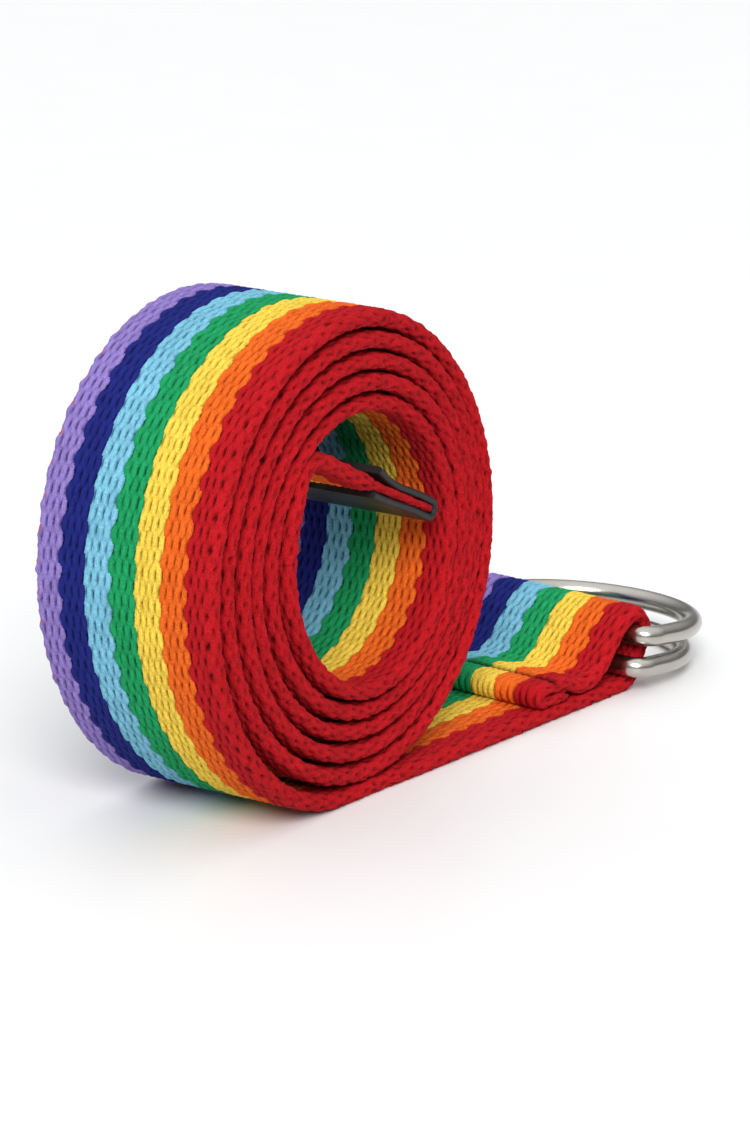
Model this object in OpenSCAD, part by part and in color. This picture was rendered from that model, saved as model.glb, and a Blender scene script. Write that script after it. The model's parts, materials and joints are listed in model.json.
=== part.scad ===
// Striped webbing strap with two D-rings, rolled up and resting on its outer turn.
//
// The origin is on the surface that the strap stands on, straight below the centre of the
// roll and midway across its width. +X runs along the free lead towards the rings, +Y runs
// across the webbing and +Z is up. One length of webbing makes the roll, the lead and the
// tail: it is three nodes because it bends where the lead and the tail leave the roll.

/* [Webbing] */
// Width of the webbing
web_w = 38; // [30:0.5:50]
// Thickness of the webbing
web_t = 3; // [2:0.1:3.1]

/* [Roll] */
// Outer radius of the roll where it meets the floor
roll_r = 46.4; // [38:0.1:60]
// Radius lost in each turn, measured on the outside of the webbing
pitch = 3.9; // [3.5:0.05:4.1]
// Angle wound from the floor to the bend where the tail leaves the wall
wind_deg = 1912; // [1890:1:1925]
// Sideways shift of the outer turn towards the lead
shift_start = 1.07; // [0:0.01:2]
// More sideways shift in each turn further in
shift_turn = 0.7; // [0:0.01:0.75]
// Half the difference between the roll's width and its height
oval = 0.48; // [0:0.01:1]
// Slant of the roll's oval, which leaves the outer turn slack on the upper left
slant = 1.3; // [0:0.01:1.5]
// Extra radius that the outer turn gains once it leaves the floor
slack = 0.68; // [0:0.01:1]

/* [Lead] */
// Distance along the lead to the bend where it lifts off the floor
lead_bend_u = 20; // [16:0.5:30]
// Distance along the lead to the bar of the lower ring
lead_bar_u = 84.5; // [78:0.5:140]
// Angle of the lead to the roll's own direction, seen from above
lead_yaw = -5; // [-8:0.5:8]

/* [Ring loop] */
// Clearance between the ring bars and the webbing round them
bar_gap = 0.3; // [0.2:0.05:0.6]
// How far the upper bar sits beyond the lower bar along the lead
bar_step_u = 3; // [0:0.1:4]
// Clear space between the two bars
bar_space = 1.65; // [1:0.05:3]
// Slope of the folded-back webbing where it leaves the upper bar
fold_slope = 22; // [10:1:35]

/* [Hem and seam] */
// Distance from the lower bar back to the seam
seam_back = 20.5; // [18:0.5:26]
// Length over which the folded-back webbing lies flat on the lead before the seam
press_len = 8; // [5:0.5:10]
// Length of the doubled hem beyond the seam
hem_len = 8; // [6:0.5:12]
// Thickness of the doubled hem
hem_t = 4.6; // [4:0.1:6]
// Diameter of the seam thread
thread_d = 0.7; // [0.4:0.05:0.9]
// Number of stitches across the webbing
stitch_n = 11; // [7:1:13]

/* [D-rings] */
// Diameter of the ring wire
ring_wire = 4; // [3:0.1:5]
// Clear width inside a ring beyond the webbing's width
ring_play = 2; // [1.5:0.1:4]
// Distance from the bar to the top of the bow, on the wire's centreline
ring_depth = 30; // [27:0.5:40]
// Bend radius of the two corners, on the wire's centreline
ring_corner = 3; // [2.6:0.1:3]
// Angle of the upper ring below level
upper_tilt = 7; // [5.5:0.1:7.4]

/* [Tail and end clip] */
// Place of the mouth of the clip from the roll's centre, along X
clip_x = 6.5; // [5:0.1:8]
// Place of the mouth of the clip from the roll's centre, along Z
clip_z = 11.5; // [10:0.1:12]
// Slope of the clip below level
clip_slope = 25; // [22:0.5:28]
// Length of the clip's arms
clip_len = 20; // [14:0.5:20]
// Thickness of the clip's sheet
clip_sheet = 1.2; // [0.8:0.1:1.4]
// Thickness of the webbing where the clip squeezes it
clip_grip = 2; // [1.6:0.1:2.4]
// Clearance between the clip and the webbing in it
clip_gap = 0.05; // [0.02:0.01:0.1]
// Height that the clip's open upper lip flares out
clip_flare = 1.5; // [0:0.1:2]

/* [Hidden] */

web_half = web_t / 2;
roll_z = roll_r;                  // height of the roll's centre
wind_step = 7.5;                  // angle between the points of the roll's outline
start_turns = 0.12;               // share of a turn over which the roll takes up its shape
bend_gap = 0.3;                   // clear space at a bend between two lengths of webbing
overlap = 0.5;                    // how far joined solids run into each other

wire_r = ring_wire / 2;
ring_half = (web_w + ring_play) / 2 + wire_r;   // half the ring's width on the centreline
wrap_r = wire_r + bar_gap + web_half;           // bend radius of the webbing round a bar
lower_bar = [lead_bar_u, web_t + bar_gap + wire_r];
upper_bar = lower_bar + [bar_step_u, ring_wire + bar_space];
floor_gap = 0.2;                                // space under the lower ring's bow
lower_tilt = asin((lower_bar[1] - wire_r - floor_gap) / ring_depth);

seam_u = lead_bar_u - seam_back;
press_u = seam_u + press_len;
hem_u = seam_u - hem_len;
groove_w = 2 * thread_d;                        // seam groove under the lead
groove_d = thread_d + 0.2;
stitch_pitch = (web_w - 4) / stitch_n;
stitch_len = 0.7 * stitch_pitch;

arc_step = 10;                                  // angle between points on a bend
curve_n = 14;                                   // stretches in a free curve

// A point at a given radius and angle.
function polar(r, a) = [r * cos(a), r * sin(a)];

// Unit vector along v, and v turned a quarter turn to the left.
function unit(v) = v / norm(v);
function left_of(v) = [-v[1], v[0]];

// A cubic curve from a to b, leaving along ta and arriving along tb.
function curve(a, ta, b, tb, reach) = [for (i = [0:curve_n]) let (s = i / curve_n, q = 1 - s)
    q * q * q * a + 3 * q * q * s * (a + reach * ta) + 3 * q * s * s * (b - reach * tb)
    + s * s * s * b];

// Direction of a path at point i, from its neighbours.
function along(p, i) = unit(p[min(i + 1, len(p) - 1)] - p[max(i - 1, 0)]);

// Outline of a strip of half thickness h[i] on each side of the path p.
function strip(p, h) = concat(
    [for (i = [0:len(p) - 1]) p[i] + h[i] * left_of(along(p, i))],
    [for (i = [len(p) - 1:-1:0]) p[i] - h[i] * left_of(along(p, i))]);

// The same half thickness all along the path p.
function even(p, h) = [for (q = p) h];

// Outer radius of the roll after winding through the angle f from the floor: a spiral that
// loses one pitch in each turn, is shifted and oval, and starts level on the floor.
function wound_r(f) = let (n = f / 360, a = 270 - f, s = 1 - exp(-pow(n / start_turns, 2)))
    roll_r + s * (slack - pitch * n + (shift_start + shift_turn * n) * cos(a)
                  + oval * cos(2 * a) - slant * sin(2 * a));

// Centreline of the rolled webbing at the winding angle f, in the plane across the roll.
function wound(f) = [0, roll_z] + polar(wound_r(f) - web_half, 270 - f);

// The bend where the tail leaves the wall, and the direction of the webbing there.
tail_bend = wound(wind_deg);
tail_dir = unit(wound(wind_deg + 1) - wound(wind_deg - 1));
wind_end = wind_deg - (web_half + bend_gap) / norm(tail_bend - [0, roll_z]) * 180 / PI;

clip_mouth = [clip_x, roll_z + clip_z];
clip_dir = polar(1, -clip_slope);
grip_half = clip_grip / 2;
tail_reach = 15;                                // how far the tail's curve keeps its direction
taper_len = 3;                                  // length over which the tail thins before the clip

// Extrudes an outline drawn in X and Z across the width of the webbing.
module across(w = web_w) {
    rotate([90, 0, 0]) linear_extrude(height = w, center = true) children();
}

// Places a shape drawn along the lead.
module on_lead() {
    rotate([0, 0, lead_yaw]) children();
}

// The rolled turns, and the flat start of the lead under them.
module webbing_roll() {
    turns = concat([for (f = [0:wind_step:wind_end - wind_step / 2]) wound(f)], [wound(wind_end)]);
    start_u = -web_w / 2 * tan(abs(lead_yaw)) - overlap;
    color("firebrick") {
        across() polygon(strip(turns, even(turns, web_half)));
        on_lead() translate([start_u, -web_w / 2, 0])
            cube([lead_bend_u - web_half - bend_gap - start_u, web_w, web_t]);
    }
}

// The lead on the floor, the loop round both ring bars and the hemmed end sewn down on it.
module webbing_lead() {
    out_a = atan2(bar_step_u, ring_wire + bar_space);
    top_a = 90 + fold_slope;
    fold_start = upper_bar + polar(wrap_r, top_a);
    fold_end = [press_u, web_t + web_half];
    path = concat(
        [[lead_bend_u, web_half]],
        [for (a = [-90:arc_step:-out_a - 1]) lower_bar + polar(wrap_r, a)],
        [lower_bar + polar(wrap_r, -out_a)],
        [for (a = [-out_a:arc_step:top_a - 1]) upper_bar + polar(wrap_r, a)],
        curve(fold_start, polar(1, top_a + 90), fold_end, [-1, 0], 6),
        [[seam_u, fold_end[1]]]);
    color("firebrick") on_lead() difference() {
        union() {
            across() polygon(strip(path, even(path, web_half)));
            translate([lead_bend_u, 0, web_half]) rotate([90, 0, 0])
                cylinder(h = web_w, r = web_half, center = true, $fn = 48);
            translate([hem_u + hem_t / 2, -web_w / 2, web_t])
                cube([hem_len - hem_t / 2, web_w, hem_t]);
            translate([hem_u + hem_t / 2, 0, web_t + hem_t / 2]) rotate([90, 0, 0])
                cylinder(h = web_w, r = hem_t / 2, center = true, $fn = 48);
        }
        translate([seam_u - hem_len / 4 - groove_w / 2, -web_w / 2 - 1, -1])
            cube([groove_w, web_w + 2, groove_d + 1]);
    }
}

// The inner end, which leaves the wall, arches over and runs down into the clip.
module webbing_tail() {
    arch = curve(tail_bend, tail_dir, clip_mouth - taper_len * clip_dir, clip_dir, tail_reach);
    gripped = [clip_mouth, clip_mouth + (clip_len - clip_gap) * clip_dir];
    color("firebrick") {
        across() polygon(strip(concat(arch, gripped),
                               concat(even(arch, web_half), even(gripped, grip_half))));
        translate([tail_bend[0], 0, tail_bend[1]]) rotate([90, 0, 0])
            cylinder(h = web_w, r = web_half, center = true, $fn = 48);
    }
}

// One D-ring of round wire, its bar on the Y axis and its bow towards +X.
module d_ring() {
    bow_x = ring_depth - ring_half;
    bar_half = ring_half - ring_corner;
    rotate([90, 0, 0]) cylinder(h = 2 * bar_half, r = wire_r, center = true, $fn = 48);
    for (side = [-1, 1]) {
        translate([ring_corner, side * bar_half, 0])
            rotate([0, 0, side > 0 ? 90 : 180]) rotate_extrude(angle = 90, $fn = 96)
                translate([ring_corner, 0]) circle(r = wire_r, $fn = 48);
        translate([ring_corner, side * ring_half, 0]) rotate([0, 90, 0])
            cylinder(h = bow_x - ring_corner, r = wire_r, $fn = 48);
    }
    translate([bow_x, 0, 0]) rotate([0, 0, -90]) rotate_extrude(angle = 180, $fn = 96)
        translate([ring_half, 0]) circle(r = wire_r, $fn = 48);
}

// The ring whose bow lies on top.
module upper_d_ring() {
    color("silver") on_lead() translate([upper_bar[0], 0, upper_bar[1]])
        rotate([0, upper_tilt, 0]) d_ring();
}

// The ring whose bow rests on the floor.
module lower_d_ring() {
    color("silver") on_lead() translate([lower_bar[0], 0, lower_bar[1]])
        rotate([0, lower_tilt, 0]) d_ring();
}

// A strip of coated sheet folded over the end of the tail, its upper lip flared open.
module end_clip() {
    inner = grip_half + clip_gap;
    outer = inner + clip_sheet;
    lip_len = 3;
    color("dimgray") translate([clip_mouth[0], 0, clip_mouth[1]]) rotate([0, clip_slope, 0]) {
        translate([lip_len, -web_w / 2, inner]) cube([clip_len - lip_len, web_w, clip_sheet]);
        across() polygon([[lip_len, inner], [lip_len, outer], [0, outer + clip_flare],
                          [0, inner + clip_flare]]);
        translate([0, -web_w / 2, -outer]) cube([clip_len, web_w, clip_sheet]);
        translate([clip_len, 0, 0]) difference() {
            rotate([90, 0, 0]) cylinder(h = web_w, r = outer, center = true, $fn = 48);
            rotate([90, 0, 0]) cylinder(h = web_w + 2, r = inner, center = true, $fn = 48);
            translate([-2 * outer, -web_w / 2 - 1, -outer - 1])
                cube([2 * outer, web_w + 2, 2 * outer + 2]);
        }
    }
}

// One row of lockstitch across the hem: thread on top of it and in a groove under the lead.
module seam_stitching() {
    color("darkred") on_lead()
        for (z = [web_t + hem_t + thread_d / 2, groove_d - thread_d / 2], i = [0:stitch_n - 1])
            translate([seam_u - hem_len / 4, (i - (stitch_n - 1) / 2) * stitch_pitch, z])
                rotate([90, 0, 0])
                    cylinder(h = stitch_len, r = thread_d / 2, center = true, $fn = 24);
}

webbing_roll();
webbing_lead();
webbing_tail();
upper_d_ring();
lower_d_ring();
end_clip();
seam_stitching();
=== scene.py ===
"""A rolled luggage strap of striped webbing, with two D-rings in a sewn loop at one end and a
folded metal clip on the other, standing on a pale floor."""
import json
import math

import bpy
import numpy as np
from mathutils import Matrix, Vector


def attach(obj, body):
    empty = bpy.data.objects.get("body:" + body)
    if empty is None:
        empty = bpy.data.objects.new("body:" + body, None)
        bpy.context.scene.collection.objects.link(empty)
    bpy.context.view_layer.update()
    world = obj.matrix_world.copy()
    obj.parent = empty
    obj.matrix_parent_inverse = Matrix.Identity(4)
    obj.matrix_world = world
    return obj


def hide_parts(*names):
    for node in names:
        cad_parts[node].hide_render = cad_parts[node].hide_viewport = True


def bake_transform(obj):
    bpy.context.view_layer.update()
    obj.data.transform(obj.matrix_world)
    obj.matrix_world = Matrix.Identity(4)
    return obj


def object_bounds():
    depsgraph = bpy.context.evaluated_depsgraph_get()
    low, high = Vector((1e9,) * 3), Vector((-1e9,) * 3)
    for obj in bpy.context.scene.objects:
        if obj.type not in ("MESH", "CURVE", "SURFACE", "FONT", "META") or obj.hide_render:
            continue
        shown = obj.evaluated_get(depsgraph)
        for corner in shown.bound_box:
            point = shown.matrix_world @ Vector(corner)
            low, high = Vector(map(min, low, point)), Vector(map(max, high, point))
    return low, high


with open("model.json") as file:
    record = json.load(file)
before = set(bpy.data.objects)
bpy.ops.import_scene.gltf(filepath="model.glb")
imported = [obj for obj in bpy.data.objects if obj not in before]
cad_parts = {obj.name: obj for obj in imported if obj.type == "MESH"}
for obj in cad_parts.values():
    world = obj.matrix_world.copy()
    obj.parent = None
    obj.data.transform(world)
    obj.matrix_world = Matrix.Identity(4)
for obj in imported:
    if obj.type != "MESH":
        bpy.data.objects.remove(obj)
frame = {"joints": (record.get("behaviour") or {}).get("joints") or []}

cad_low, cad_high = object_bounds()
scene = bpy.context.scene
scene.view_settings.view_transform = "Standard"


# ---- Camera ---------------------------------------------------------------------------------
# A long lens looks along the near, red edge of the roll from the side of its outer turn, with
# the lead and its rings running away behind the roll.
CAMERA_AZIMUTH = math.radians(56.145)
CAMERA_ELEVATION = math.radians(16.48)
CAMERA_DISTANCE, CAMERA_LENS, SENSOR_WIDTH = 0.8968, 152.96, 36.0
NEAREST_SEEN, FARTHEST_SEEN = 0.05, 50.0
AIM_FROM_ROLL, AIM_HEIGHT_SHARE = 0.07941, 0.3716
aim = Vector((cad_low[0] + AIM_FROM_ROLL, 0.0, cad_high[2] * AIM_HEIGHT_SHARE))
sight = Vector((math.sin(CAMERA_AZIMUTH) * math.cos(CAMERA_ELEVATION),
                math.cos(CAMERA_AZIMUTH) * math.cos(CAMERA_ELEVATION),
                -math.sin(CAMERA_ELEVATION)))
camera_data = bpy.data.cameras.new("camera")
camera_data.lens = CAMERA_LENS
camera_data.sensor_width = SENSOR_WIDTH
camera_data.sensor_fit = "AUTO"
camera_data.clip_start = NEAREST_SEEN
camera_data.clip_end = FARTHEST_SEEN
camera = bpy.data.objects.new("camera", camera_data)
camera.location = aim - CAMERA_DISTANCE * sight
camera.rotation_euler = sight.to_track_quat("-Z", "Y").to_euler()
scene.collection.objects.link(camera)
scene.camera = camera


# ---- Floor and studio light -----------------------------------------------------------------
# A sheet of smooth white board in a pale room, under one broad light far away. The board has a
# faint gloss, so the strap's foot shows in it.
class Plug:
    """One output of a shader node. Arithmetic on it adds Math nodes; node() adds any other node."""

    def __init__(self, tree, link=None):
        self.tree, self.link = tree, link

    def node(self, kind, settings=None, values=None, out=0):
        """Adds a node: its settings first, then its sockets' values or links."""
        made = self.tree.nodes.new(kind)
        for name, value in (settings or {}).items():
            if name == "stops":
                ramp = made.color_ramp
                while len(ramp.elements) < len(value):
                    ramp.elements.new(1.0)
                for element, (place, colour) in zip(ramp.elements, value):
                    element.position, element.color = place, colour
            elif name == "steps":
                made.color_ramp.interpolation = value
            else:
                setattr(made, name, value)
        for name, value in (values or {}).items():
            if isinstance(value, Plug):
                self.tree.links.new(value.link, made.inputs[name])
            else:
                made.inputs[name].default_value = value
        return Plug(self.tree, made.outputs[out])

    def math(self, operation, first, second=0.0):
        return self.node("ShaderNodeMath", {"operation": operation}, {0: first, 1: second})

    def __add__(self, other):
        return self.math("ADD", self, other)

    def __sub__(self, other):
        return self.math("SUBTRACT", self, other)

    def __rsub__(self, other):
        return self.math("SUBTRACT", other, self)

    def __mul__(self, other):
        return self.math("MULTIPLY", self, other)

    __radd__, __rmul__ = __add__, __mul__

    def between(self, low, high):
        """0 where this is at low or less, 1 at high or more, and smooth in between."""
        return self.node("ShaderNodeMapRange", {"interpolation_type": "SMOOTHSTEP"},
                         {"Value": self, "From Min": low, "From Max": high})

    def tint(self, colour):
        """This number times a colour, which may be a plug too."""
        return self.node("ShaderNodeVectorMath", {"operation": "SCALE"},
                         {0: colour, "Scale": self})

    def stretched(self, scale):
        """These coordinates times a scale along each axis."""
        return self.node("ShaderNodeMapping", {}, {"Vector": self, "Scale": scale})

    def noise(self, scale, detail=2.0, places=None):
        """Noise with scale lumps to the metre, on the object's own coordinates unless others
        are given."""
        places = places or self.node("ShaderNodeTexCoord", out="Object")
        return self.node("ShaderNodeTexNoise", {},
                         {"Vector": places, "Scale": scale, "Detail": detail})

    def bumps(self, strength, distance):
        """The normal of a surface that has this height times a distance."""
        return self.node("ShaderNodeBump", {}, {
            "Height": self, "Strength": strength, "Distance": distance})


def finish_of(name, **uniform):
    """A new material: its start plug, its surface shader, and itself. uniform are values of the
    shader's own sockets, with _ for a space."""
    material = bpy.data.materials.new(name)
    material.use_nodes = True
    surface = material.node_tree.nodes["Principled BSDF"]
    for socket, value in uniform.items():
        surface.inputs[socket.replace("_", " ")].default_value = value
    return Plug(material.node_tree), surface, material


def wire(surface, **sockets):
    """Links plugs to the sockets of a surface shader."""
    for socket, plug in sockets.items():
        plug.tree.links.new(plug.link, surface.inputs[socket.replace("_", " ")])


def linear(red, green, blue):
    """A colour given in 0 to 255 display steps, as the linear light that shaders use."""
    steps = np.array([red, green, blue]) / 255
    light = np.where(steps < 0.04045, steps / 12.92, ((steps + 0.055) / 1.055) ** 2.4)
    return (*light.tolist(), 1.0)


FLOOR_REACH = 6.0
board = bpy.data.meshes.new("floor")
board.from_pydata([(x * FLOOR_REACH, y * FLOOR_REACH, 0)
                   for x, y in ((-1, -1), (1, -1), (1, 1), (-1, 1))], [], [(0, 1, 2, 3)])
floor = bpy.data.objects.new("floor", board)
scene.collection.objects.link(floor)
start, surface, board_white = finish_of("white_board", Roughness=0.35, Specular_IOR_Level=0.15)
wire(surface, Base_Color=(0.81 + 0.02 * start.noise(40.0)).tint((0.99, 0.995, 1.0)))
board.materials.append(board_white)

# The room is bright at the horizon and below it, dim just above it, and brightest overhead.
HORIZON_LIGHT, DIMMER_ABOVE, BRIGHTER_OVERHEAD = 0.96, 0.80, 1.04
ROOM_COLOUR = (0.97, 0.985, 1.0, 1.0)
room = bpy.data.worlds.new("room")
scene.world = room
room.use_nodes = True
room_start = Plug(room.node_tree)
upward = room_start.node("ShaderNodeSeparateXYZ", {}, {
    "Vector": room_start.node("ShaderNodeTexCoord", out="Generated")}, out="Z")
room_light = (HORIZON_LIGHT + BRIGHTER_OVERHEAD * upward.between(0.05, 1.0)
              - DIMMER_ABOVE * upward.between(0.01, 0.07))
background = room.node_tree.nodes["Background"].inputs
room.node_tree.links.new(room_light.link, background["Strength"])
background["Color"].default_value = ROOM_COLOUR

# The key light shines from high behind the camera. It is broad and far off, so its shadows are
# soft and it is even over the floor.
KEY_STRENGTH = 2.75
KEY_SPREAD = math.radians(28.0)
KEY_COLOUR = (1.0, 0.985, 0.96)
KEY_SIGHT = Vector((0.66, 0.47, -0.62))
key_data = bpy.data.lights.new("key", "SUN")
key_data.energy = KEY_STRENGTH
key_data.angle = KEY_SPREAD
key_data.color = KEY_COLOUR
key = bpy.data.objects.new("key", key_data)
key.rotation_euler = KEY_SIGHT.to_track_quat("-Z", "Y").to_euler()
scene.collection.objects.link(key)


# ---- Webbing --------------------------------------------------------------------------------
# One length of coarse cotton webbing, 38 mm wide and 3 mm thick, in seven stripes. It is warp
# faced: 50 soft ends lie side by side, and every other one rides over each pick of the weft.
WEB_WIDE, WEB_THICK = 0.038, 0.003
EDGE_ROUND, EDGE_SQUARE, EDGE_STEPS = 0.0015, 0.92, 18
STRIPE_ENDS = (7, 7, 7, 7, 8, 7, 7)
STRIPE_COLOURS = {
    "lilac": linear(152, 130, 206), "navy": linear(31, 40, 126), "sky": linear(130, 200, 228),
    "green": linear(30, 162, 98), "yellow": linear(255, 218, 84), "orange": linear(246, 110, 34),
    "red": linear(192, 22, 32)}
END_COUNT = sum(STRIPE_ENDS)
STRIPE_EDGES = np.cumsum((0,) + STRIPE_ENDS)
STRIPE_PLACES = np.linspace(WEB_WIDE / 2, -WEB_WIDE / 2, len(STRIPE_EDGES))

# The weave along the strap in metres: its repeat, how far an end rises, dips and bulges, and how
# far its highest floats stand out. Widths, bow and sway are in ends, across the strap.
WEAVE_REPEAT = 0.0056
END_RISE, END_DIP, END_BULGE = 0.00022, 0.00050, 0.00038
WEAVE_PROUD, FACE_PROUD, EDGE_PROUD, EDGE_SCALLOP = 0.00014, 0.00026, 0.00050, 0.00010
END_HALF, FLOAT_WAIST, EVEN_PIT_WAIST, ODD_PIT_WAIST = 0.83, 0.08, 0.58, 0.66
PIT_SHARPNESS = 3
END_BOW, SWAY_COSINE, SWAY_SINE = 0.05, 0.14, 0.06

# How much one float differs from the next: the spread and the most, for each. The tables of them
# reach past the edges by some spare ends. The table of lumps has prime sides, so it repeats late.
LIFT_SPREAD, LIFT_MOST = 0.045, 0.12
LEAN_SPREAD, LEAN_MOST = 0.05, 0.12
SLIP_SPREAD, SLIP_MOST = 0.04, 0.1
TONE_SPREAD, TONE_LOW, TONE_HIGH = 0.06, 0.84, 1.14
SPARE_ENDS = 4
LUMP_TABLE = (997, 61)

# Lumps of fuzz, the painted shade in the pits, the groove of the seam and the weft's orange specks.
LARGE_LUMP, SMALL_LUMP = 0.0009, 0.0005
FACE_FUZZ, EDGE_FUZZ, EDGE_FLATTER = 0.00003, 0.00011, 0.35
PIT_DARK, PIT_FLOOR, PIT_FADE, EDGE_PIT_PALER = 0.98, -0.00062, 0.00066, 0.5
SEAM_GROOVE, SEAM_GROOVE_HALF = 0.0008, 0.0007
SPECK_END, SPECK_END_HALF, SPECK_END_FADE = 1.1, 0.45, 0.25
SPECK_HALF, SPECK_FADE, SPECK_REPEAT_SHIFT = 0.00045, 0.0003, 0.25

# Mesh spacing: along a turn, along the lead and the inner turn, across a face that shows, and
# across one that doesn't, inside a border that keeps the fine spacing.
RING_STEP, LONG_STEP, ACROSS_STEP = 0.00042, 0.00051, 0.00025
COARSE_STEP, FINE_BORDER = 0.0012, 0.0032

# The roll, as the frame's own spiral has it.
ROLL_RADIUS, ROLL_PITCH, WOUND_DEGREES, WOUND_POINTS = 0.0464, 0.0039, 1912.0, 9000
SHIFT_START, SHIFT_TURN = 0.00107, 0.0007
ROLL_OVAL, ROLL_SLANT, ROLL_SLACK, START_TURNS = 0.00048, 0.0013, 0.00068, 0.12
LEAD_YAW = math.radians(-5.0)
YAW_REACH, AHEAD_STEP = 0.020, 0.0003
DRIFT, DRIFT_FROM, DRIFT_REACH = 0.0004, 0.03, 0.05

# The loop round the ring bars, the hem and the seam, along the lead and above the floor.
BAR_WRAP = 0.0038
joint_at = {joint["name"]: np.array(joint["pos_m"]) for joint in frame["joints"]}
lead_axis = np.array([math.cos(LEAD_YAW), math.sin(LEAD_YAW), 0.0])
lower_bar = np.array([joint_at["lower_ring_swing"] @ lead_axis, joint_at["lower_ring_swing"][2]])
upper_bar = np.array([joint_at["upper_ring_swing"] @ lead_axis, joint_at["upper_ring_swing"][2]])
BAR_LEAN = math.degrees(math.atan2(*(upper_bar - lower_bar)))
FOLD_SLOPE = 22.0
SEAM_U, PRESS_U, HEM_END_U = 0.0620, 0.0720, 0.0560
HEM_HALF, HEM_BEND = 0.00115, 0.00118

# The tail, from the wall of the roll to the mouth of the clip.
tail_bend = joint_at["tail_flex"][[0, 2]]
CLIP_MOUTH = np.array([0.0065, ROLL_RADIUS + 0.0115])
CLIP_SLOPE = math.radians(-25)
CLIP_DIR = np.array([math.cos(CLIP_SLOPE), math.sin(CLIP_SLOPE)])
CLIP_LENGTH, END_GAP = 0.020, 0.0002
GRIP_HALF, TAIL_REACH, TAPER = 0.0008, 0.019, 0.003


def wound(turned):
    """Centreline of the roll in X and Z, turned degrees after it leaves the floor. Its radius
    loses one pitch a turn, is shifted towards the lead, oval and slanted, and starts level."""
    turns, angle = turned / 360, np.radians(270 - turned)
    settled = 1 - np.exp(-(turns / START_TURNS) ** 2)
    radius = ROLL_RADIUS - WEB_THICK / 2 + settled * (
        ROLL_SLACK - ROLL_PITCH * turns + (SHIFT_START + SHIFT_TURN * turns) * np.cos(angle)
        + ROLL_OVAL * np.cos(2 * angle) - ROLL_SLANT * np.sin(2 * angle))
    return np.stack([radius * np.cos(angle), ROLL_RADIUS + radius * np.sin(angle)], -1)


def arc(centre, radius, first, last, count=60):
    """Points on a circle from one angle to another, in degrees."""
    angle = np.radians(np.linspace(first, last, count))
    return centre + radius * np.stack([np.cos(angle), np.sin(angle)], -1)


def bend_curve(first, first_dir, last, last_dir, reach, count=160):
    """A cubic curve between two points that keeps each end's direction for reach."""
    t = np.linspace(0, 1, count)[:, None]
    return ((1 - t) ** 3 * first + 3 * (1 - t) ** 2 * t * (first + reach * first_dir)
            + 3 * (1 - t) * t ** 2 * (last - reach * last_dir) + t ** 3 * last)


def straight(first, last, count=200):
    """Points on a line."""
    return np.array(first) + np.linspace(0, 1, count)[:, None] * (np.array(last) - first)


# The whole strap as one path in the plane across the roll, from the raw end in the hem, round
# the bars, along the floor and up round the roll to the end in the clip.
HEM_GAP, RAW_END_PAST_SEAM, TOP_PAST_SEAM = 0.00005, 0.003, 0.001
PRESS_REACH, FOLD_REACH = 0.004, 0.006
under_hem = WEB_THICK + HEM_HALF + HEM_GAP
hem_centre = np.array([HEM_END_U + HEM_BEND + HEM_HALF, under_hem + HEM_BEND])
hem_top = hem_centre[1] + HEM_BEND
hem_leaves = np.array([SEAM_U + TOP_PAST_SEAM, hem_top])
pressed = np.array([PRESS_U, WEB_THICK * 1.5])
fold_start = arc(upper_bar, BAR_WRAP, 90 + FOLD_SLOPE, 90 + FOLD_SLOPE, 1)[0]
fold_dir = np.array([math.cos(math.radians(FOLD_SLOPE)), math.sin(math.radians(FOLD_SLOPE))])
EAST = np.array([1.0, 0.0])
tail_dir = np.diff(wound(np.array([WOUND_DEGREES - 1, WOUND_DEGREES + 1])), axis=0)[0]
tail_dir /= np.linalg.norm(tail_dir)
taper_start = CLIP_MOUTH - TAPER * CLIP_DIR
stretches = {
    "under_hem": straight((SEAM_U + RAW_END_PAST_SEAM, under_hem), (hem_centre[0], under_hem)),
    "hem_fold": arc(hem_centre, HEM_BEND, -90, -270),
    "hem_top": straight((hem_centre[0], hem_top), hem_leaves),
    "press": bend_curve(hem_leaves, EAST, pressed, EAST, PRESS_REACH),
    "fold_top": bend_curve(pressed, EAST, fold_start, fold_dir, FOLD_REACH),
    "upper_bar": arc(upper_bar, BAR_WRAP, 90 + FOLD_SLOPE, -BAR_LEAN),
    "lower_bar": arc(lower_bar, BAR_WRAP, -BAR_LEAN, -90),
    "floor": straight((lower_bar[0], WEB_THICK / 2), (0.0, WEB_THICK / 2), 800),
    "roll": wound(np.linspace(0, WOUND_DEGREES, WOUND_POINTS)),
    "tail": bend_curve(tail_bend, tail_dir, taper_start, CLIP_DIR, TAIL_REACH),
    "clip": straight(taper_start, CLIP_MOUTH + (CLIP_LENGTH - END_GAP) * CLIP_DIR)}
route = np.concatenate(list(stretches.values()))
moved = np.r_[True, np.linalg.norm(np.diff(route, axis=0), axis=1) > 1e-9]
ends_at = np.cumsum([len(points) for points in stretches.values()])
stretch_end = {name: moved[:end].sum() - 1 for name, end in zip(stretches, ends_at)}
route = route[moved]
run = np.r_[0, np.cumsum(np.linalg.norm(np.diff(route, axis=0), axis=1))]
HEM_RUN, PRESS_RUN = run[stretch_end["hem_top"]], run[stretch_end["press"]]
FLOOR_RUN, GRIP_RUN = run[stretch_end["floor"]], run[stretch_end["tail"]]
over_hem = slice(stretch_end["hem_fold"], stretch_end["hem_top"] + 1)
SEAM_RUN = float(np.interp(SEAM_U, route[over_hem, 0], run[over_hem]))


def run_at(turned):
    """Length along the strap at an angle wound from the floor, in degrees."""
    roll_run = run[stretch_end["floor"]:stretch_end["roll"] + 1]
    spots = np.linspace(0, len(roll_run) - 1, WOUND_POINTS).astype(int)
    return float(np.interp(turned / WOUND_DEGREES, np.linspace(0, 1, WOUND_POINTS),
                           roll_run[spots]))


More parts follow.
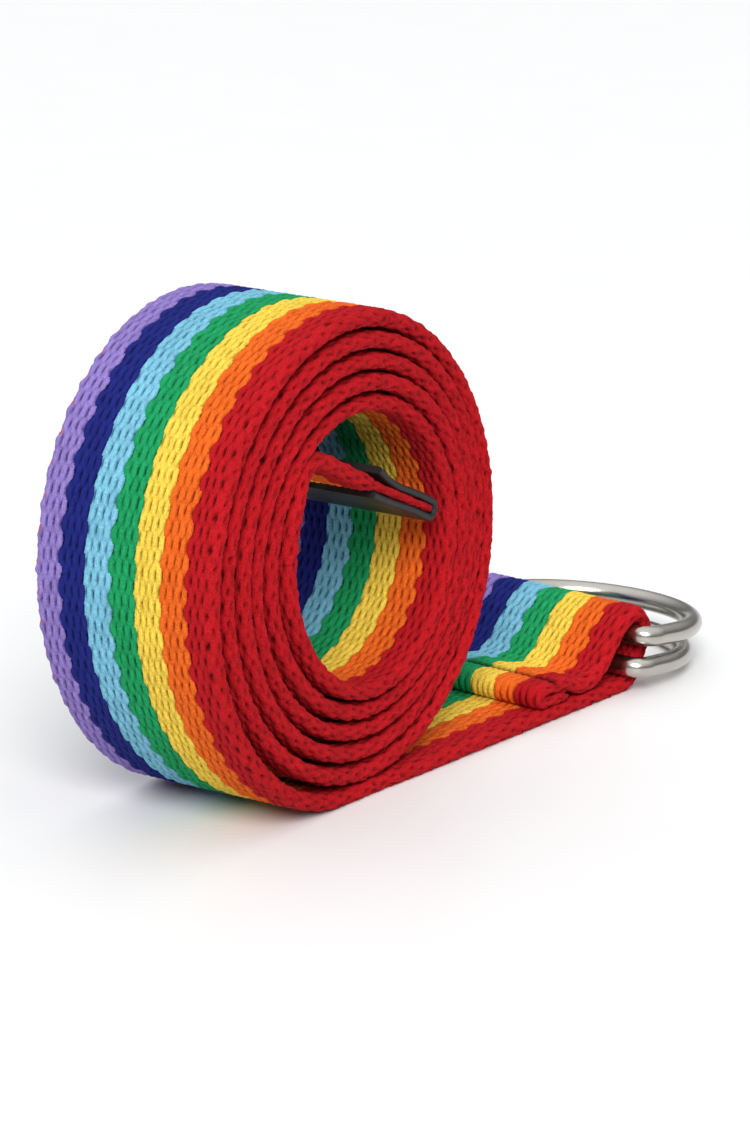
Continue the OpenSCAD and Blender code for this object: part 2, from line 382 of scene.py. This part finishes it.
def smooth(t):
    """0 below 0, 1 above 1 and an even S between them."""
    t = np.clip(t, 0, 1)
    return t * t * (3 - 2 * t)


# Small differences from one float of the weave to the next, the same on each run.
chance = np.random.default_rng(38)
FLOATS = int(run[-1] / WEAVE_REPEAT) + 4
EACH_FLOAT = (END_COUNT + 2 * SPARE_ENDS, FLOATS)
float_lift = chance.normal(0, LIFT_SPREAD, EACH_FLOAT).clip(-LIFT_MOST, LIFT_MOST)
float_lean = chance.normal(0, LEAN_SPREAD, EACH_FLOAT).clip(-LEAN_MOST, LEAN_MOST)
float_slip = chance.normal(0, SLIP_SPREAD, EACH_FLOAT).clip(-SLIP_MOST, SLIP_MOST)
float_tone = chance.normal(1.0, TONE_SPREAD, EACH_FLOAT).clip(TONE_LOW, TONE_HIGH)
knot_table = chance.uniform(-1, 1, LUMP_TABLE)


def weave(along, end):
    """Relief of the webbing at a length along it and a place across it counted in ends.

    An end rises as a cosine of the repeat, and the cube of its lower half takes it down into a
    short pit under the pick, every other end half a repeat later. It is narrow in the pit and
    wide elsewhere, with a round back, and bows aside between its floats. The relief is the
    highest end at each place: (relief, the end's number, its tone)."""
    phase = 2 * np.pi * along / WEAVE_REPEAT
    sway = SWAY_COSINE * np.cos(phase) + SWAY_SINE * np.sin(phase)
    relief = np.full(np.broadcast(along, end).shape, -END_DIP)
    owner = np.floor(end + 0 * along)
    tone = np.full(relief.shape, 0.5)
    base = np.floor(end - sway)
    for step in (-2, -1, 0, 1, 2):
        number = base + step
        odd = np.mod(number, 2)
        turn = along / WEAVE_REPEAT - 0.5 * odd
        nearest = np.round(turn)
        row = np.clip(number + SPARE_ENDS, 0, EACH_FLOAT[0] - 1).astype(int)
        column = np.clip(nearest + 1, 0, FLOATS - 1).astype(int)
        up = np.cos(2 * np.pi * (turn - nearest + float_slip[row, column] * 0.5))
        dip = np.clip(-up, 0, 1) ** PIT_SHARPNESS
        half = (END_HALF - FLOAT_WAIST * np.clip(up, 0, 1) ** 2
                - np.where(odd > 0.5, ODD_PIT_WAIST, EVEN_PIT_WAIST) * dip)
        bow = END_BOW * np.sin(2 * np.pi * turn)
        aside = (end - sway - bow - number - 0.5 - float_lean[row, column]) / half
        round_back = np.sqrt(np.clip(1 - aside * aside, 0, 1))
        height = (END_RISE * up - (END_DIP - END_RISE) * dip
                  + END_BULGE * (round_back + float_lift[row, column] * np.clip(up, 0, 1)))
        height = np.where(np.abs(aside) < 1, height, -1.0)
        higher = height > relief
        relief = np.where(higher, height, relief)
        owner = np.where(higher, number, owner)
        tone = np.where(higher, float_tone[row, column], tone)
    return relief - END_RISE - END_BULGE + WEAVE_PROUD, owner, tone


def across_places(fine):
    """Places on one face of the webbing from its +Y side to its -Y side, close together on a
    face that shows, and only near the edges on one that doesn't."""
    half = WEB_WIDE / 2 - EDGE_ROUND
    if fine:
        return np.linspace(half, -half, int(2 * half / ACROSS_STEP) + 1)
    border = np.linspace(half, half - FINE_BORDER, int(FINE_BORDER / ACROSS_STEP) + 1)
    middle = np.linspace(border[-1], -border[-1],
                         int(2 * border[-1] / COARSE_STEP) + 1)[1:-1]
    return np.concatenate([border, middle, -border[::-1]])


def section_of(outer_fine, inner_fine):
    """The outline across the webbing: two flat faces, and edges with the squareness of a
    superellipse. Place across, share of the half thickness, outward direction across and
    through, number of the end, and length round the outline."""
    half = WEB_WIDE / 2 - EDGE_ROUND
    turn = np.linspace(0, np.pi, EDGE_STEPS + 1)[1:-1]
    outer, inner = across_places(outer_fine), across_places(inner_fine)[::-1]
    over = np.sign(np.cos(turn)) * np.abs(np.cos(turn)) ** EDGE_SQUARE
    beyond = np.sin(turn) ** EDGE_SQUARE
    place = np.concatenate([outer, -half - EDGE_ROUND * beyond, inner, half + EDGE_ROUND * beyond])
    through = np.concatenate([np.ones_like(outer), over, -np.ones_like(inner), -over])
    out_across = np.concatenate([0 * outer, -np.sin(turn), 0 * inner, np.sin(turn)])
    out_through = through.copy()
    flat_end = np.interp(-np.clip(place, -half, half), -STRIPE_PLACES, STRIPE_EDGES)
    last_flat = np.interp(half, -STRIPE_PLACES, STRIPE_EDGES)
    round_share = 1 - np.abs(turn - np.pi / 2) / (np.pi / 2)
    bulge = np.concatenate([0 * outer, round_share * (END_COUNT + 0.5 - last_flat), 0 * inner,
                            -round_share * (END_COUNT + 0.5 - last_flat)])
    length = np.r_[0, np.cumsum(np.hypot(np.diff(place), np.diff(through) * WEB_THICK / 2))]
    return place, through, out_across, out_through, flat_end + bulge, length


def yawed(u, y, w, yaw):
    """Points u along the lead, y across it and w above the floor, turned about the upright axis
    through the origin by a yaw."""
    return np.stack([u * np.cos(yaw) - y * np.sin(yaw), u * np.sin(yaw) + y * np.cos(yaw),
                     w + 0 * y], -1)


def strap_point(along, lift, place):
    """Points of the strap at a length along it, a height off its centreline on the outer side
    and a place across it: the path's point plus lift times its outward normal, turned about
    the origin by the yaw that the lead takes up as it leaves the roll."""
    x, z = (np.interp(along, run, route[:, i]) for i in (0, 1))
    ahead = np.stack([np.interp(along + AHEAD_STEP, run, route[:, i])
                      - np.interp(along - AHEAD_STEP, run, route[:, i]) for i in (0, 1)], -1)
    ahead /= np.linalg.norm(ahead, axis=-1, keepdims=True)
    yaw = LEAD_YAW * smooth((FLOOR_RUN + YAW_REACH - along) / (2 * YAW_REACH))
    return yawed(x - lift * ahead[..., 1], place, z + lift * ahead[..., 0], yaw)


def half_thickness(along):
    """Half the webbing's thickness: less in the pressed hem and in the clip."""
    hem = 1 - smooth((along - HEM_RUN) / (PRESS_RUN - HEM_RUN))
    grip = smooth((along - GRIP_RUN) / TAPER)
    return WEB_THICK / 2 - hem * (WEB_THICK / 2 - HEM_HALF) - grip * (WEB_THICK / 2 - GRIP_HALF)


def knots(along, around, size, table):
    """Even noise from -1 to 1 with lumps of a given size: the table's numbers on a grid, with a
    smooth S between neighbours in both directions."""
    x, y = along / size + 3.0, around / size + 3.0
    i, j = np.floor(x).astype(int), np.floor(y).astype(int)
    s, t = smooth(x - i), smooth(y - j)
    rows, columns = table.shape
    near, far = table[i % rows, j % columns], table[(i + 1) % rows, j % columns]
    near_on, far_on = table[i % rows, (j + 1) % columns], table[(i + 1) % rows, (j + 1) % columns]
    return (near * (1 - s) + far * s) * (1 - t) + (near_on * (1 - s) + far_on * s) * t


def edge_drift(along):
    """How far the turns of the roll stand out sideways from each other, in metres: two sines
    that never fall in step, and nothing on the floor."""
    in_roll = smooth((along - FLOOR_RUN - DRIFT_FROM) / DRIFT_REACH)
    return in_roll * DRIFT * (np.sin(along * 23.0) + 0.6 * np.sin(along * 41.0 + 1.0))


def mesh_object(name, points, walls, ends, material):
    """A closed mesh object at the origin: smooth four-sided walls and flat three-sided ends, all
    turned outwards by the sign of the volume that they enclose."""
    corners = points[np.concatenate([walls[:, :3], walls[:, [0, 2, 3]], ends])]
    volume = np.einsum("ij,ij->i", corners[:, 0], np.cross(corners[:, 1], corners[:, 2])).sum()
    if volume < 0:
        walls, ends = walls[:, ::-1], ends[:, ::-1]
    mesh = bpy.data.meshes.new(name)
    mesh.vertices.add(len(points))
    mesh.vertices.foreach_set("co", points.ravel())
    sizes = np.repeat([4, 3], [len(walls), len(ends)])
    mesh.loops.add(int(sizes.sum()))
    mesh.loops.foreach_set("vertex_index", np.concatenate([walls.ravel(), ends.ravel()]))
    mesh.polygons.add(len(sizes))
    mesh.polygons.foreach_set("loop_start", np.r_[0, np.cumsum(sizes)[:-1]])
    mesh.polygons.foreach_set("use_smooth", sizes == 4)
    mesh.update(calc_edges=True)
    mesh.materials.append(material)
    made = bpy.data.objects.new(name, mesh)
    scene.collection.objects.link(made)
    return made


def grid_walls(rows, size, shut=False):
    """Faces between the points of a grid of rows rings, each of size points. The last ring is
    joined to the first if shut."""
    spot = np.arange(rows if shut else rows - 1)[:, None] * size + np.arange(size)
    beside = spot - np.arange(size) + np.roll(np.arange(size), -1)
    whole = rows * size
    return np.stack([spot, beside, (beside + size) % whole, (spot + size) % whole],
                    -1).reshape(-1, 4)


def grid_ends(rows, size):
    """Fans of triangles that shut the first and the last ring of a grid, round two points that
    follow the grid's own."""
    ring, start_mid = np.arange(size), rows * size
    first = np.stack([np.roll(ring, -1), ring, np.full(size, start_mid)], 1)
    last = np.stack([ring, np.roll(ring, -1), np.full(size, start_mid + 1)], 1)
    last[:, :2] += (rows - 1) * size
    return np.concatenate([first, last])


def thread_places(made, along, length):
    """Gives a length of webbing its UV map, thread: the length along the strap and the length
    round its outline, which goes on past its end where the outline shuts on itself."""
    count, size = len(along), len(length)
    vertex = np.zeros(len(made.data.loops), int)
    made.data.loops.foreach_get("vertex_index", vertex)
    ring, spot = np.minimum(vertex // size, count - 1), vertex % size
    wall_corners = 4 * (count - 1) * size
    of_wall = spot[:wall_corners].reshape(-1, 4)
    wraps = np.zeros(len(vertex), bool)
    wraps[:wall_corners] = ((of_wall == 0) & (of_wall.max(1) == size - 1)[:, None]).ravel()
    around = length[spot] + wraps * (length[-1] + ACROSS_STEP)
    layer = made.data.uv_layers.new(name="thread")
    layer.data.foreach_set("uv", np.stack([along[ring, 0], around], -1).astype(
        np.float32).ravel())


def weft_specks(along, end):
    """Where the weft's loops show at the lilac edge: 1 within a short way of one place in each
    repeat and of one end, and a smooth fall to 0."""
    off = np.abs(np.mod(along / WEAVE_REPEAT + SPECK_REPEAT_SHIFT, 1) - 0.5) * WEAVE_REPEAT
    beside = np.abs(end - SPECK_END)
    return smooth((SPECK_HALF - off) / SPECK_FADE) * smooth(
        (SPECK_END_HALF - beside) / SPECK_END_FADE)


def webbing(name, first, last, outer_fine=True, inner_fine=True, step=RING_STEP):
    """A closed length of webbing from one place along the strap to another: the section's
    outline at each step, lifted by the weave and by lumps of fuzz, flat where it is squeezed,
    sunk at the seam, and shut by a flat end at both ends."""
    count = int(round((last - first) / step)) + 1
    along = np.linspace(first, last, count)[:, None]
    place, through, out_across, out_through, end, length = section_of(outer_fine, inner_fine)
    relief, owner, tone = weave(along, end[None, :])
    seam = np.exp(-((along - SEAM_RUN) / SEAM_GROOVE_HALF) ** 2) * (through > 0.5)
    on_edge = np.abs(out_across)
    lumps = (knots(along, length[None, :], LARGE_LUMP, knot_table)
             + knots(along, length[None, :], SMALL_LUMP, knot_table))
    squeezed = 1 - half_thickness(along) / (WEB_THICK / 2)
    relief = (relief * (1 - EDGE_FLATTER * on_edge) * (1 - squeezed) - SEAM_GROOVE * seam
              + (FACE_FUZZ + EDGE_FUZZ * on_edge) * lumps)
    face = FACE_PROUD * outer_fine * (through > 0) * (1 - on_edge)
    lift = half_thickness(along) * through + (relief + face) * out_through
    scallop = EDGE_SCALLOP * np.cos(2 * np.pi * along / WEAVE_REPEAT)
    side = place + (relief + EDGE_PROUD + scallop) * out_across + edge_drift(along)
    points = strap_point(along + 0 * place, lift, side)
    size = len(place)
    made = mesh_object(name, np.concatenate([points.reshape(-1, 3), points[[0, -1]].mean(1)]),
                       grid_walls(count, size), grid_ends(count, size), cotton)
    # Painted shade: the colour darkens in the pits of the weave by how deep they sink, less on the
    # edges. The same attribute also carries each float's own random tone.
    pit = 1 - smooth((relief - PIT_FLOOR) / PIT_FADE)
    shade = np.clip(tone * (1 - PIT_DARK * pit * (1 - EDGE_PIT_PALER * on_edge)), 0, 1.2)
    for label, values in (("end", (owner + 0.5) / END_COUNT), ("shade", shade),
                          ("speck", weft_specks(along, end[None, :]))):
        layer = made.data.attributes.new(label, "FLOAT", "POINT")
        filled = np.concatenate([(values + 0 * points[..., 0]).ravel(), [0.5, 0.5]])
        layer.data.foreach_set("value", filled.astype(np.float32))
    thread_places(made, along, length)
    return made


# The cotton: dyed by the number of the end, with painted shade that makes the pits darker and
# deeper in colour, and mottled by its fibres, its fuzz and wear.
SPECK_COLOUR = linear(226, 92, 58)
start, surface, cotton = finish_of("striped_cotton", Roughness=0.9, Specular_IOR_Level=0.12)
stripe_stops = [(edge / END_COUNT, colour) for edge, colour in
                zip(STRIPE_EDGES[:-1], STRIPE_COLOURS.values())]
end_number = start.node("ShaderNodeAttribute", {"attribute_name": "end"}, out="Fac")
dyed = start.node("ShaderNodeValToRGB", {"stops": stripe_stops, "steps": "CONSTANT"},
                  {"Fac": end_number})
speck_mask = start.node("ShaderNodeAttribute", {"attribute_name": "speck"}, out="Fac")
bound = start.node("ShaderNodeMix", {"data_type": "RGBA"},
                   {"Factor": speck_mask * 0.9, "A": dyed, "B": SPECK_COLOUR}, out=2)
# Painted shade: in the pits the colour falls to its own square, scaled down, a darker and deeper
# copy of itself.
squared = start.node("ShaderNodeVectorMath", {"operation": "MULTIPLY"}, {0: bound, 1: bound})
pit_shade_colour = start.node("ShaderNodeVectorMath", {"operation": "SCALE"}, {0: squared, "Scale": 0.22})
tone_and_pit_shade_factor = start.node("ShaderNodeAttribute", {"attribute_name": "shade"}, out="Fac")
lit = start.node("ShaderNodeMix", {"data_type": "RGBA"},
                 {"Factor": tone_and_pit_shade_factor, "A": pit_shade_colour, "B": bound}, out=2)
thread_uv = start.node("ShaderNodeUVMap", {"uv_map": "thread"})
fibres = start.noise(1.0, 3.0, thread_uv.stretched((700.0, 5200.0, 1.0)))
fuzz = start.noise(2600.0)
wear = start.noise(90.0, 3.0)
grain = 0.10 + 0.64 * fibres + 0.66 * fuzz + 0.14 * wear
wire(surface, Base_Color=start.node("ShaderNodeVectorMath", {"operation": "SCALE"},
                                    {0: lit, "Scale": grain}),
     Normal=(0.6 * fibres + 0.7 * fuzz).bumps(1.0, 0.0004))

# Angles wound from the floor, in degrees, at which each turn of the roll ends.
LEAD_TURNED, TAIL_TURNED = 14.0, 1900.0
TURN_ENDS = {"outer_turn_front": 194.0, "outer_turn_back": 374.0, "second_turn": 734.0,
             "third_turn": 1094.0, "fourth_turn": 1454.0, "inner_turn": TAIL_TURNED}
turn_start = LEAD_TURNED
for turn_name, turn_end in TURN_ENDS.items():
    inner = turn_name == "inner_turn"
    turn = webbing(turn_name, run_at(turn_start), run_at(turn_end),
                   outer_fine=turn_name.startswith("outer"), inner_fine=inner,
                   step=LONG_STEP if inner else RING_STEP)
    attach(turn, "roll")
    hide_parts("webbing_roll")
    turn_start = turn_end

lead = webbing("lead", 0.0, run_at(LEAD_TURNED), step=LONG_STEP)
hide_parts("webbing_lead")
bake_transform(lead)

tail = webbing("tail", run_at(TAIL_TURNED), float(run[-1]))
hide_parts("webbing_tail")
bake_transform(tail)


# ---- D-rings --------------------------------------------------------------------------------
# Two rings of 4 mm steel wire, bent to a D with small corners, butted at the bar and nickel
# plated. The bars lie one above the other in the loop, so the bows lie on each other.
WIRE_RADIUS, WIRE_STEPS = 0.002, 32
RING_HALF, RING_DEPTH, RING_CORNER = 0.022, 0.030, 0.003
UPPER_TILT, LOWER_TILT = math.radians(7.0), math.radians(5.93)


def ring_path():
    """Centreline of a D-ring in its own plane, from the middle of its bar: half the bar, a
    quarter turn, a side, the half round bow, and back the same way."""
    bow_x, bar_half = RING_DEPTH - RING_HALF, RING_HALF - RING_CORNER
    corner = arc(np.array([RING_CORNER, bar_half]), RING_CORNER, 180, 90, 24)
    side = straight((RING_CORNER, RING_HALF), (bow_x, RING_HALF), 12)
    bow = arc(np.array([bow_x, 0.0]), RING_HALF, 90, -90, 160)
    half = np.concatenate([straight((0.0, 0.0), (0.0, bar_half), 40)[:-1], corner, side[1:-1]])
    return np.concatenate([half, bow, (half * (1, -1))[::-1][:-1]])


def tube_grid(path, radius, closed, steps, sideways):
    """Round wire along a path of points in space: a circle across the path at each point. The
    circle's own axes come from one direction that the path never follows. Points, walls, ends."""
    ahead = (np.roll(path, -1, 0) - np.roll(path, 1, 0)) if closed else np.gradient(path, axis=0)
    ahead /= np.linalg.norm(ahead, axis=1, keepdims=True)
    first = np.cross(ahead, sideways)
    first /= np.linalg.norm(first, axis=1, keepdims=True)
    second = np.cross(ahead, first)
    angle = np.linspace(0, 2 * np.pi, steps, endpoint=False)[None, :, None]
    size = np.broadcast_to(radius, len(path))[:, None, None]
    points = path[:, None] + size * (np.cos(angle) * first[:, None] + np.sin(angle)
                                     * second[:, None])
    ends = np.zeros((0, 3), int) if closed else grid_ends(len(path), steps)
    points = np.concatenate([points.reshape(-1, 3), path[[0, -1]]][:1 if closed else 2])
    return points, grid_walls(len(path), steps, closed), ends


# The plating: warm grey, smeared by hands and brushed with fine scratches.
start, surface, nickel = finish_of("polished_nickel", Metallic=1.0)
smear = start.noise(160.0, 4.0)
brushed = start.node("ShaderNodeTexCoord", out="Object").stretched((900.0, 2600.0, 5200.0))
scratch = start.noise(1.0, 3.0, brushed)
wire(surface, Base_Color=(0.42 + 0.14 * smear).tint((1.0, 0.95, 0.87)),
     Roughness=0.13 + 0.14 * smear + 0.05 * scratch, Normal=scratch.bumps(0.12, 0.00005))

for ring_name, bar, tilt in (("upper_ring", upper_bar, UPPER_TILT),
                             ("lower_ring", lower_bar, LOWER_TILT)):
    flat = ring_path()
    spots = yawed(bar[0] + flat[:, 0] * math.cos(tilt), flat[:, 1],
                  bar[1] - flat[:, 0] * math.sin(tilt), LEAD_YAW)
    normal = yawed(math.sin(tilt), 0.0, math.cos(tilt), LEAD_YAW)
    ring = mesh_object(ring_name + "_wire",
                       *tube_grid(spots, WIRE_RADIUS, True, WIRE_STEPS, normal), nickel)
    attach(ring, ring_name)
    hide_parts(ring_name.replace("_ring", "_d_ring"))


# ---- End clip -------------------------------------------------------------------------------
# A strip of steel sheet with a dull black coat, folded over the cut end of the strap and
# pressed shut on it. The lip of its upper arm still stands a little open.
SHEET_HALF, SHEET_RIM, CLIP_INNER, CLIP_PAST_WEB = 0.0007, 0.00066, 0.00085, 0.0003
CLIP_FLARE, LIP, LIP_REACH = 0.0015, 0.012, 0.005
RIPPLE, RIPPLE_ACROSS, RIPPLE_ALONG = 0.00022, 170.0, 330.0
LEFT_OF_CLIP = np.array([-CLIP_DIR[1], CLIP_DIR[0]])


def clip_profile():
    """Centreline of the folded sheet: along the lower arm, round the fold and back along the
    upper arm to the flared lip, as (distance from the mouth, height off the webbing)."""
    arm = CLIP_INNER + SHEET_HALF
    lower = straight((0.0, -arm), (CLIP_LENGTH, -arm), 60)
    fold = arc(np.array([CLIP_LENGTH, 0.0]), arm, -90, 90, 40)
    upper = straight((CLIP_LENGTH, arm), (LIP, arm), 50)
    flare = bend_curve(np.array([LIP, arm]), np.array([-1.0, 0.0]),
                       np.array([0.0, arm + CLIP_FLARE]), np.array([-0.97, 0.24]),
                       LIP_REACH, 30)
    return np.concatenate([lower, fold[1:], upper[1:], flare[1:]])


def rounded_bar(half_wide, half_thick, rim, steps=6):
    """Outline of a flat bar with rounded corners: a quarter circle at each corner."""
    turn = np.linspace(0, np.pi / 2, steps)
    corners = []
    for quarter, (side, top) in enumerate(((1, 1), (-1, 1), (-1, -1), (1, -1))):
        angle = turn + quarter * np.pi / 2
        corners.append(np.stack([side * (half_wide - rim) + rim * np.cos(angle),
                                 top * (half_thick - rim) + rim * np.sin(angle)], -1))
    return np.concatenate(corners)


def strip_along(name, profile, outline, material):
    """A bar whose outline is carried along a profile in the clip's own plane: across the width
    and off the profile's left side, rippled by sines both ways, with a flat end at both ends."""
    ahead = np.gradient(profile, axis=0)
    ahead /= np.linalg.norm(ahead, axis=1, keepdims=True)
    left = np.stack([-ahead[:, 1], ahead[:, 0]], -1)
    spots = profile[:, None] + outline[None, :, 1:] * left[:, None]
    flat = CLIP_MOUTH + spots[..., :1] * CLIP_DIR + spots[..., 1:] * LEFT_OF_CLIP
    wide = np.broadcast_to(outline[None, :, 0], flat.shape[:2]) + edge_drift(run[-1])
    ripple = (RIPPLE * np.sin(wide * RIPPLE_ACROSS + 0.7)
              * np.sin(spots[..., 0] * RIPPLE_ALONG))
    points = np.stack([flat[..., 0], wide, flat[..., 1] + ripple], -1)
    size, rows = len(outline), len(profile)
    return mesh_object(name, np.concatenate([points.reshape(-1, 3), points[[0, -1]].mean(1)]),
                       grid_walls(rows, size), grid_ends(rows, size), material)


# The coat: a dull black with a fine grain, scuffed paler in patches.
start, surface, black_coat = finish_of("black_coat", Specular_IOR_Level=0.28)
coat_grain = start.noise(1400.0, 3.0)
worn = start.noise(210.0, 5.0).between(0.55, 0.8)
wire(surface, Base_Color=(0.010 + 0.018 * worn + 0.008 * coat_grain).tint((1.0, 1.02, 1.05)),
     Roughness=0.42 + 0.18 * coat_grain + 0.10 * worn, Normal=coat_grain.bumps(0.25, 0.00006))
clip_outline = rounded_bar(WEB_WIDE / 2 + CLIP_PAST_WEB, SHEET_HALF, SHEET_RIM)
clip = strip_along("folded_clip", clip_profile(), clip_outline, black_coat)
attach(clip, "tail")
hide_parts("end_clip")


# ---- Seam stitching -------------------------------------------------------------------------
# One row of lockstitch across the hem in dark red thread, sunk in the groove that it pulls into
# the webbing, and the same row under the lead.
THREAD_RADIUS, THREAD_STEPS, STITCHES = 0.00028, 10, 11
ROW_MARGIN, STITCH_SHARE, STITCH_BOW, STITCH_SLANT = 0.004, 0.40, 0.00035, 0.00015
SUNK_IN_HEM, UNDER_LEVEL = 0.00075, 0.0005
start, surface, red_thread = finish_of("red_thread", Roughness=0.7, Sheen_Weight=0.2)
ply = start.node("ShaderNodeTexWave", {"bands_direction": "DIAGONAL"}, {
    "Vector": start.node("ShaderNodeTexCoord", out="Object"), "Scale": 900.0,
    "Distortion": 1.5})
# Painted shade: the ply wave darkens the thread where its bumps sink, between the plies.
wire(surface, Base_Color=(0.55 + 0.45 * ply).tint(linear(120, 22, 34)[:3]),
     Normal=ply.bumps(0.5, 0.00008))

# Each stitch bows outwards in half a sine and thins towards both ends, where it dives into the
# webbing.
stitch_pitch = (WEB_WIDE - ROW_MARGIN) / STITCHES
t = np.linspace(0, 1, 15)
thickness = THREAD_RADIUS * (0.35 + 0.65 * np.sin(np.pi * t) ** 0.4)
stitch_grids = []
for level, bow in ((hem_top + HEM_HALF - SUNK_IN_HEM, 1), (UNDER_LEVEL, -1)):
    for number in range(STITCHES):
        y = (number - (STITCHES - 1) / 2 + STITCH_SHARE * (2 * t - 1)) * stitch_pitch
        w = level + bow * STITCH_BOW * (np.sin(np.pi * t) - 0.6)
        path = yawed(SEAM_U + STITCH_SLANT * np.sin(np.pi * t), y, w, LEAD_YAW)
        stitch_grids.append(tube_grid(path, thickness, False, THREAD_STEPS, lead_axis))
stitch_points, stitch_walls, stitch_caps = zip(*stitch_grids)
first_points = np.r_[0, np.cumsum([len(points) for points in stitch_points])]
seam = mesh_object("seam_thread", np.concatenate(stitch_points),
                   np.concatenate([walls + at for walls, at in zip(stitch_walls, first_points)]),
                   np.concatenate([caps + at for caps, at in zip(stitch_caps, first_points)]),
                   red_thread)
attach(seam, "lead")
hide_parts("seam_stitching")
